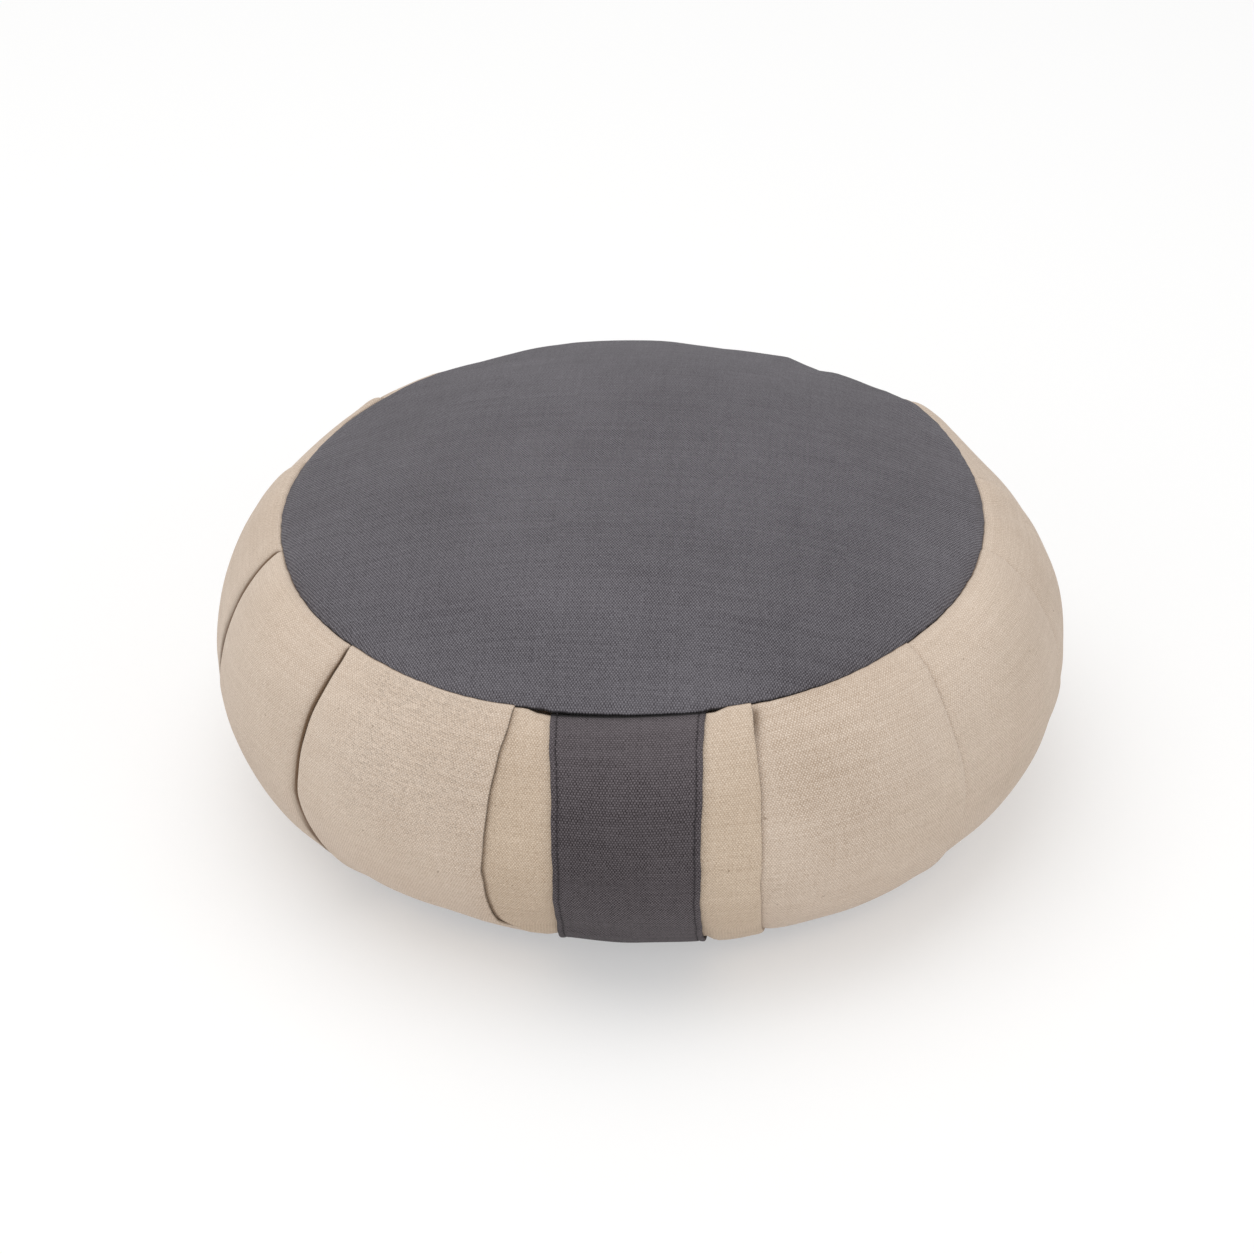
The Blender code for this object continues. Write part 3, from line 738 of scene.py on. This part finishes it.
def build_top(settled):
    """The grey top panel, a little puckered along its seam."""

    def edge(angle):
        reach = 0.0010 * at_strip_end(angle) + 0.0013 * close_to(angle, 115.0, 10.0)
        return seam_radius(angle) - 0.0004 + seam_waver(angle) + reach

    def place(angle, distance, depth, share):
        point = crown_point(angle, distance, depth)
        near = smooth((share - 0.80) / 0.15) * (1.0 - smooth((share - 0.965) / 0.035))
        pucker = 0.00022 * near * (np.sin(13 * angle + 0.6) + 0.7 * np.sin(29 * angle + 2.0))
        swell = 0.0007 * smooth((share - 0.86) / 0.1) * (1.0 - smooth((share - 0.965) / 0.035))
        swell = swell * (1.0 - behind(angle))
        lip = RIM_LIFT * (1.0 - 0.6 * behind(angle)) * smooth((share - 0.94) / 0.05)
        outer = smooth((share - 0.6) / 0.3) * smooth((1.0 - share) / 0.02)
        point[:, 2] += pucker + swell + lip + 0.6 * settled.crown(angle, share) * outer
        return point

    shares = np.concatenate([np.linspace(0.03, 0.88, 34), np.linspace(0.9, 0.995, 12)])
    return build_round("top_panel_cloth", 420, edge, shares, (0.97, 0.9, 0.75, 0.5, 0.25), place, 1.0)


def build_bottom():
    """The bottom panel, flat where the cushion rests."""

    def edge(angle):
        return BASE_RADIUS - 0.0005 + seam_waver(angle)

    def place(angle, distance, depth, share):
        return base_point(angle, distance, depth)

    shares = (0.25, 0.5, 0.7, 0.8, 0.82, 0.84, 0.87, 0.9, 0.93, 0.96, 0.98, 0.995)
    return build_round("bottom_panel_cloth", 300, edge, shares, (0.97, 0.9, 0.8, 0.5, 0.25), place, -1.0)


STITCH_INSET = 0.0026
STRIP_END_TUCK = ((1.6, 1.3), (0.8, 0.6))


def strip_place(across, down, settled):
    """Points on the body right under the strip, the outward direction and the angle there."""
    middle = np.radians(through(STRIP_AIM, down))
    angle = middle + across / side_girth(middle, down)
    level = np.broadcast_to(down, angle.shape)
    point = band_points(angle, visible_height(angle, down), level, settled)
    return point, side_normal(angle, level)


def build_strip(settled):
    """The carry strip: two layers turned in at the edges, flat on the side, ends in the seams."""
    down = 0.003 + 0.994 * levels(100, 0.5)
    half = STRIP_WIDTH / 2
    near = np.array([3.9, 3.4, 2.95, 2.6, 2.25, 1.8, 1.3, 0.8, 0.4, 0.12]) * MM
    across = np.concatenate([-half + near[::-1], np.linspace(-1.0, 1.0, 31) * (half - 0.0044), half - near])
    wobble = 0.00018 * np.sin(9.0 * down * math.pi + 0.5) + 0.00010 * np.sin(23.0 * down * math.pi)
    grid = across[:, None] + wobble[None, :]
    point, normal = strip_place(grid, down, settled)
    from_edge = (half - np.abs(across))[:, None]
    from_end = np.minimum(down, 1.0 - down)[None, :]
    thick = STRIP_THICKNESS * (1.0 - 0.75 * (1.0 - np.clip(from_edge / 0.0008, 0.0, 1.0)) ** 2)
    groove = np.exp(-((from_edge - STITCH_INSET) / 0.00045) ** 2)
    swell = 0.00018 * np.exp(-((from_edge - 0.0012) / 0.0008) ** 2)
    lift = GAP + (thick - 0.00034 * groove + swell) * (1.0 - 0.65 * smooth((0.045 - from_end) / 0.03))
    outer = point + normal * lift[..., None]
    inner = point + normal * GAP * 0.9
    ring = np.concatenate([outer, inner[::-1]], axis=0).transpose(1, 0, 2)
    u = np.broadcast_to(across[:, None], grid.shape)
    v = np.broadcast_to(down[None, :] * SIDE_LENGTH, grid.shape)
    face = np.stack([u, v], -1)
    uv = np.concatenate([face, face[::-1]], axis=0).transpose(1, 0, 2)
    # Painted shade in the stitch grooves, at both ends and under the top panel's rim, full on the hidden
    # inner layer and the tucks, a little over the rest, and painted light on the upper part
    dark = np.maximum(0.35 * groove, np.exp(-(from_end / 0.009) ** 2))
    dark = np.maximum(dark, smooth((0.036 - down) / 0.012)[None, :])
    dark = dark + 0.15 - 0.32 * smooth((0.36 - down) / 0.25) * smooth((down - 0.036) / 0.02)
    mark = np.concatenate([dark, dark[::-1] * 0.0 + 1.0], axis=0).T
    inward = -normal.mean(axis=(0, 1)) * np.array([1.0, 1.0, 0.0])
    inward = inward / np.linalg.norm(inward)
    tucks = [(inward * far * MM, np.array([0.0, 0.0, deep * MM])) for far, deep in STRIP_END_TUCK]
    tucks_top = [ring[0] + far - deep for far, deep in tucks]
    tucks_low = [ring[-1] + far + deep for far, deep in tucks[::-1]]
    ring = np.concatenate([np.array(tucks_top), ring, np.array(tucks_low)])
    uv = np.concatenate([uv[:1], uv[:1], uv, uv[-1:], uv[-1:]])
    ones = np.ones((2, ring.shape[1]))
    mark = np.concatenate([ones, mark, ones])
    made = grid_mesh("handle_strip_cloth", ring, uv, ring[0].mean(0), ring[-1].mean(0), {"painted_shade": mark})
    courses = []
    for side in (-1.0, 1.0):
        line = np.full((1, len(down)), side * (half - STITCH_INSET)) + wobble
        course, facing = strip_place(line, down, settled)
        courses.append((course + facing * (GAP + STRIP_THICKNESS - 0.00034))[0, 2:-2])
    return made, courses


# Materials

def colour(red, green, blue):
    """A photo colour, 0 to 255, as the linear value that a shader takes."""
    linear = []
    for value in (red / 255.0, green / 255.0, blue / 255.0):
        linear.append(value / 12.92 if value <= 0.04045 else ((value + 0.055) / 1.055) ** 2.4)
    return (*linear, 1.0)


class Graph:
    """Short names for making a node graph."""

    def __init__(self, name):
        self.material = bpy.data.materials.new(name)
        self.material.use_nodes = True
        self.tree = self.material.node_tree
        self.surface = self.tree.nodes["Principled BSDF"]

    def node(self, kind, **settings):
        made = self.tree.nodes.new(kind)
        for key, value in settings.items():
            setattr(made, key, value)
        return made

    def put(self, value, socket):
        if isinstance(value, bpy.types.NodeSocket):
            self.tree.links.new(value, socket)
        else:
            socket.default_value = value

    def maths(self, operation, first, second=0.0, third=0.0):
        made = self.node("ShaderNodeMath", operation=operation)
        for value, socket in zip((first, second, third), made.inputs):
            self.put(value, socket)
        return made.outputs[0]

    def mix(self, share, first, second, blend="MIX"):
        made = self.node("ShaderNodeMix", data_type="RGBA", blend_type=blend)
        self.put(share, made.inputs[0])
        self.put(first, made.inputs[6])
        self.put(second, made.inputs[7])
        return made.outputs[2]

    def noise(self, vector, scale, detail=2.0, roughness=0.5):
        made = self.node("ShaderNodeTexNoise")
        self.put(vector, made.inputs["Vector"])
        made.inputs["Scale"].default_value = scale
        made.inputs["Detail"].default_value = detail
        made.inputs["Roughness"].default_value = roughness
        return made.outputs["Fac"]

    def chance(self, first, second):
        """A value of its own, from 0 to 1, for each pair of whole numbers."""
        pair = self.node("ShaderNodeCombineXYZ")
        self.put(first, pair.inputs[0])
        self.put(second, pair.inputs[1])
        made = self.node("ShaderNodeTexWhiteNoise", noise_dimensions="2D")
        self.put(pair.outputs[0], made.inputs["Vector"])
        return made.outputs["Value"]

    def span(self, value, low, high, to_low=0.0, to_high=1.0):
        made = self.node("ShaderNodeMapRange")
        for key, given in (("Value", value), ("From Min", low), ("From Max", high), ("To Min", to_low),
                           ("To Max", to_high)):
            self.put(given, made.inputs[key])
        return made.outputs["Result"]

    def vary(self, tone, value, low, high, amount):
        """The tone, less by the amount where the value is low and more by it where it is high."""
        return self.maths("ADD", tone, self.span(value, low, high, -amount, amount))

    def finish(self, values, height=None, relief=0.0):
        """Set the shader's own sockets, with the height as a bump of that relief in metres."""
        for key, value in values.items():
            self.put(value, self.surface.inputs[key])
        if height is not None:
            bump = self.node("ShaderNodeBump")
            bump.inputs["Distance"].default_value = relief
            self.put(height, bump.inputs["Height"])
            self.put(bump.outputs[0], self.surface.inputs["Normal"])
        return self.material

    def placed(self, vector, turn, scale):
        made = self.node("ShaderNodeMapping")
        self.put(vector, made.inputs["Vector"])
        made.inputs["Rotation"].default_value = (0.0, 0.0, math.radians(turn))
        made.inputs["Scale"].default_value = scale
        return made.outputs[0]


WARP_PITCH = 0.00058
WEFT_PITCH = 0.00082
WEAVE_DRIFT = 0.0005
SLANT_CREASE_ANGLE = 16.0
SLANT_CREASE_SCALE = (300.0, 1500.0, 1.0)
WARM_TINT = (0.95, 0.925, 0.87, 1.0)


def canvas(name, dark, light, painted_shade, relief, speckle, rib, streak, sheen, turn=0.0, slant_creased=False):
    """Cotton canvas: fine warp over heavier weft, every thread and crossing a little different, mottled dye,
    and painted shade, a darker tone where the cloth goes into a crease or seam. A shade mark below 0 paints
    light, making it lighter."""
    g = Graph(name)
    cloth = g.node("ShaderNodeUVMap", uv_map="cloth").outputs[0]
    body = g.node("ShaderNodeTexCoord").outputs["Object"]
    parts = g.node("ShaderNodeSeparateXYZ")
    g.put(g.placed(cloth, turn, (1.0, 1.0, 1.0)), parts.inputs[0])

    def threads(along, pitch, wide, fine, fine_drift):
        """The count of threads along one direction, which drifts a little as in a real weave."""
        drift = g.maths("ADD", g.span(g.noise(body, wide), 0.0, 1.0, -WEAVE_DRIFT, WEAVE_DRIFT),
                        g.span(g.noise(body, fine, 1.0), 0.0, 1.0, -fine_drift, fine_drift))
        return g.maths("DIVIDE", g.maths("ADD", along, drift), pitch)

    u = threads(parts.outputs[0], WARP_PITCH, 47.0, 420.0, 0.00032)
    v = threads(parts.outputs[1], WEFT_PITCH, 39.0, 380.0, 0.00036)
    wave_u = g.maths("SINE", g.maths("MULTIPLY", u, math.pi))
    wave_v = g.maths("SINE", g.maths("MULTIPLY", v, math.pi))
    lattice = g.maths("MULTIPLY", wave_u, wave_v)
    ridge = g.maths("ABSOLUTE", wave_v)
    whole_u, whole_v = g.maths("FLOOR", u), g.maths("FLOOR", v)
    knot = g.chance(whole_u, whole_v)
    weft = g.chance(whole_v, g.maths("FLOOR", g.maths("MULTIPLY", u, 0.02)))
    warp = g.chance(whole_u, g.maths("FLOOR", g.maths("MULTIPLY", v, 0.03)))
    tone = g.maths("MULTIPLY_ADD", lattice, g.maths("MULTIPLY_ADD", knot, speckle, speckle * 0.6), 0.42)
    tone = g.maths("ADD", tone, g.maths("MULTIPLY_ADD", ridge, rib, -0.6 * rib))
    tone = g.vary(tone, weft, 0.0, 1.0, streak)
    tone = g.vary(tone, warp, 0.0, 1.0, 0.6 * streak)
    tone = g.vary(tone, g.noise(body, 1500.0, 1.0), 0.25, 0.75, 0.12)
    tone = g.vary(tone, g.noise(body, 14.0, 4.0, 0.6), 0.3, 0.7, 0.08)
    warm = g.node("ShaderNodeAttribute", attribute_name="warm").outputs["Fac"]
    taut = g.node("ShaderNodeAttribute", attribute_name="taut").outputs["Fac"]
    tone = g.maths("MULTIPLY_ADD", g.maths("SUBTRACT", tone, 0.5), g.maths("ADD", taut, 1.0), 0.5)
    paint = g.mix(g.span(tone, 0.0, 1.0), dark, light)
    # The mark paints shade into creases and seams, mixing towards the third colour, and below 0 it paints
    # light, mixing towards the light colour
    mark = g.node("ShaderNodeAttribute", attribute_name="painted_shade").outputs["Fac"]
    paint = g.mix(g.span(mark, 0.0, 1.0, 0.0, 0.92), paint, painted_shade)
    paint = g.mix(g.span(mark, 0.0, -1.0, 0.0, 1.0), paint, light)
    height = g.maths("ADD", g.maths("MULTIPLY", lattice, 0.45), g.maths("MULTIPLY", ridge, 0.45))
    height = g.maths("ADD", height, g.maths("MULTIPLY", knot, 0.30))
    height = g.maths("ADD", height, g.maths("MULTIPLY", g.noise(body, 240.0, 2.0), 0.6))
    if slant_creased:
        where = g.node("ShaderNodeAttribute", attribute_name="slant_creases").outputs["Fac"]
        slanting = g.placed(cloth, -SLANT_CREASE_ANGLE, (1.0, 1.0, 1.0))
        lines = g.noise(g.placed(slanting, 0.0, SLANT_CREASE_SCALE), 1.0, 1.0)
        line = g.maths("MULTIPLY", g.span(lines, 0.40, 0.68), g.maths("MULTIPLY_ADD", where, 0.92, 0.08))
        # Painted shade in the short slanting creases, which are also bumped in below
        paint = g.mix(g.maths("MULTIPLY", line, 0.055), paint, painted_shade)
        height = g.maths("SUBTRACT", height, g.maths("MULTIPLY", line, 1.9))
        specks = g.span(g.noise(body, 520.0, 0.0), 0.86, 0.90)
        paint = g.mix(g.maths("MULTIPLY", specks, 0.4), paint, painted_shade)
        paint = g.mix(warm, paint, WARM_TINT, "MULTIPLY")
    rough = g.span(knot, 0.0, 1.0, 0.86, 0.98)
    return g.finish({"Base Color": paint, "Roughness": rough, "Specular IOR Level": 0.15,
                     "Sheen Weight": sheen, "Sheen Roughness": 0.5}, height, relief)


def sewing_thread(name, dark, light):
    """Twisted thread, its two plies drawn along its length."""
    g = Graph(name)
    body = g.node("ShaderNodeTexCoord").outputs["Object"]
    fuzz = g.noise(body, 3600.0, 2.0)
    paint = g.mix(g.span(fuzz, 0.3, 0.7), dark, light)
    return g.finish({"Base Color": paint, "Roughness": 0.75, "Specular IOR Level": 0.3}, fuzz, 0.00008)


# Stitches

def stitch_row(name, course, pitch, length, radius, material):
    """A row of stitches along a course: short rounded threads set along it by a node group."""
    line = bpy.data.meshes.new(name + "_line")
    line.from_pydata([tuple(p) for p in course], [(i, i + 1) for i in range(len(course) - 1)], [])
    guide = add_object(name + "_guide", line)
    group = bpy.data.node_groups.new(name + "_nodes", "GeometryNodeTree")
    face = group.interface
    face.new_socket("Geometry", in_out="INPUT", socket_type="NodeSocketGeometry")
    sockets = {}
    for key in ("Pitch", "Length", "Radius"):
        sockets[key] = face.new_socket(key, in_out="INPUT", socket_type="NodeSocketFloat").identifier
    face.new_socket("Geometry", in_out="OUTPUT", socket_type="NodeSocketGeometry")
    add, link = group.nodes.new, group.links.new
    start, end = add("NodeGroupInput"), add("NodeGroupOutput")
    curve = add("GeometryNodeMeshToCurve")
    link(start.outputs["Geometry"], curve.inputs[0])
    places = add("GeometryNodeCurveToPoints")
    places.mode = "LENGTH"
    link(curve.outputs[0], places.inputs["Curve"])
    link(start.outputs["Pitch"], places.inputs["Length"])
    bead = add("GeometryNodeMeshUVSphere")
    bead.inputs["Segments"].default_value = 8
    bead.inputs["Rings"].default_value = 6
    bead.inputs["Radius"].default_value = 1.0
    size = add("ShaderNodeCombineXYZ")
    halve = add("ShaderNodeMath")
    halve.operation = "MULTIPLY"
    halve.inputs[1].default_value = 0.5
    link(start.outputs["Length"], halve.inputs[0])
    link(start.outputs["Radius"], size.inputs[0])
    link(start.outputs["Radius"], size.inputs[1])
    link(halve.outputs[0], size.inputs[2])
    copies = add("GeometryNodeInstanceOnPoints")
    link(places.outputs["Points"], copies.inputs["Points"])
    link(bead.outputs["Mesh"], copies.inputs["Instance"])
    link(places.outputs["Rotation"], copies.inputs["Rotation"])
    link(size.outputs[0], copies.inputs["Scale"])
    real = add("GeometryNodeRealizeInstances")
    link(copies.outputs[0], real.inputs[0])
    paint = add("GeometryNodeSetMaterial")
    paint.inputs["Material"].default_value = material
    link(real.outputs[0], paint.inputs[0])
    link(paint.outputs[0], end.inputs[0])
    modifier = guide.modifiers.new("stitches", "NODES")
    modifier.node_group = group
    for key, value in (("Pitch", pitch), ("Length", length), ("Radius", radius)):
        modifier[sockets[key]] = value
    bpy.context.view_layer.update()
    mesh = bpy.data.meshes.new_from_object(guide.evaluated_get(bpy.context.evaluated_depsgraph_get()))
    bpy.data.objects.remove(guide, do_unlink=True)
    mesh.name = name
    mesh.polygons.foreach_set("use_smooth", [True] * len(mesh.polygons))
    return add_object(name, mesh)


# Making the pieces

# Dark and light colour of each cloth, and the colour of the shade painted into its creases and seams
CREAM = (colour(182, 160, 139), colour(249, 233, 217), colour(98, 70, 42))
GREY = (colour(60, 56, 61), colour(134, 131, 137), colour(30, 27, 30))
STRIP_GREY = (colour(46, 40, 42), colour(124, 117, 121), colour(26, 23, 25))

cream = canvas("cream canvas", *CREAM, 0.00018, speckle=0.20, rib=0.14, streak=0.04, sheen=0.12,
               slant_creased=True)
grey = canvas("grey canvas", *GREY, 0.00022, speckle=0.42, rib=0.22, streak=0.05, turn=4.0, sheen=0.12)
strip_grey = canvas("grey strip canvas", *STRIP_GREY, 0.00024, speckle=0.42, rib=0.40, streak=0.05,
                    sheen=0.05)
base_grey = canvas("grey base canvas", *GREY, 0.00022, speckle=0.42, rib=0.22, streak=0.05, turn=-3.0,
                   sheen=0.12)
thread = sewing_thread("dark sewing thread", colour(32, 28, 31), colour(64, 58, 62))

settled = settle_cover()


def finish_piece(piece, material, node=None):
    piece.data.materials.clear()
    piece.data.materials.append(material)
    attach(piece, "root")
    if node:
        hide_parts(node)
    return piece


band = finish_piece(build_band(settled), cream, "pleated_body")
top = finish_piece(build_top(settled), grey, "top_panel")
bottom = finish_piece(build_bottom(), base_grey, "bottom_panel")
strip, courses = build_strip(settled)
finish_piece(strip, strip_grey, "handle_strip")
for side, course in zip(("left", "right"), courses):
    row = stitch_row("strip_stitches_" + side, course, 0.0028, 0.0021, 0.00026, thread)
    finish_piece(row, thread)


# Camera

CAMERA_TILT = math.radians(32.3425)
CAMERA_ROLL = math.radians(-0.352)
CAMERA_DISTANCE = 1.4
PHOTO_WIDTH = 1254
FOCUS_PIXELS = 3293.4
CENTRE_X = 639.70
CENTRE_Y = 613.72

forward = Vector((0.0, math.cos(CAMERA_TILT), -math.sin(CAMERA_TILT)))
up_level = Vector((0.0, math.sin(CAMERA_TILT), math.cos(CAMERA_TILT)))
right_level = Vector((1.0, 0.0, 0.0))
up = math.cos(CAMERA_ROLL) * up_level - math.sin(CAMERA_ROLL) * right_level
right = math.cos(CAMERA_ROLL) * right_level + math.sin(CAMERA_ROLL) * up_level
aim = Vector((MIDDLE_RIGHT, MIDDLE_BACK, 0.07))
lens = bpy.data.cameras.new("camera")
lens.sensor_width = 36.0
lens.lens = FOCUS_PIXELS / PHOTO_WIDTH * lens.sensor_width
lens.shift_x = (PHOTO_WIDTH / 2 - CENTRE_X) / PHOTO_WIDTH
lens.shift_y = (CENTRE_Y - PHOTO_WIDTH / 2) / PHOTO_WIDTH
camera = add_object("camera", lens)
facing = Matrix((right, up, -forward)).transposed().to_4x4()
camera.matrix_world = Matrix.Translation(aim - forward * CAMERA_DISTANCE) @ facing
bpy.context.scene.camera = camera


# Floor and light

FLOOR_HALF = 6.0

corners = [(FLOOR_HALF * x, FLOOR_HALF * y, 0.0) for x, y in ((-1, -1), (1, -1), (1, 1), (-1, 1))]
floor_mesh = bpy.data.meshes.new("floor")
floor_mesh.from_pydata(corners, [], [(0, 1, 2, 3)])
floor = add_object("floor", floor_mesh)
paint = Graph("floor paint").finish({"Base Color": (0.62, 0.62, 0.62, 1.0), "Roughness": 0.95,
                                     "Specular IOR Level": 0.05, "Emission Color": (1.0, 1.0, 1.0, 1.0),
                                     "Emission Strength": 0.39})
floor.data.materials.append(paint)


def soft_light(name, place, target, size, power, tint):
    data = bpy.data.lights.new(name, "AREA")
    data.shape = "RECTANGLE"
    data.size, data.size_y = size
    data.energy = power
    data.color = tint
    made = add_object(name, data)
    made.location = place
    made.rotation_euler = (Vector(target) - Vector(place)).to_track_quat("-Z", "Y").to_euler()


soft_light("overhead", (-0.3, 0.2, 2.2), (0.0, 0.0, 0.0), (2.6, 2.2), 27.0, (1.0, 0.995, 0.985))
soft_light("front left", (-1.5, -1.9, 1.3), (0.0, 0.0, 0.05), (1.8, 1.4), 6.2, (1.0, 0.99, 0.975))
soft_light("front right", (1.8, -1.5, 1.3), (0.0, 0.0, 0.05), (1.6, 1.2), 6.1, (1.0, 0.99, 0.97))

world = bpy.data.worlds.new("studio")
bpy.context.scene.world = world
world.use_nodes = True
sky = world.node_tree.nodes["Background"].inputs
sky["Color"].default_value = (1.0, 1.0, 1.0, 1.0)
sky["Strength"].default_value = 0.55
bpy.context.scene.view_settings.view_transform = "Standard"
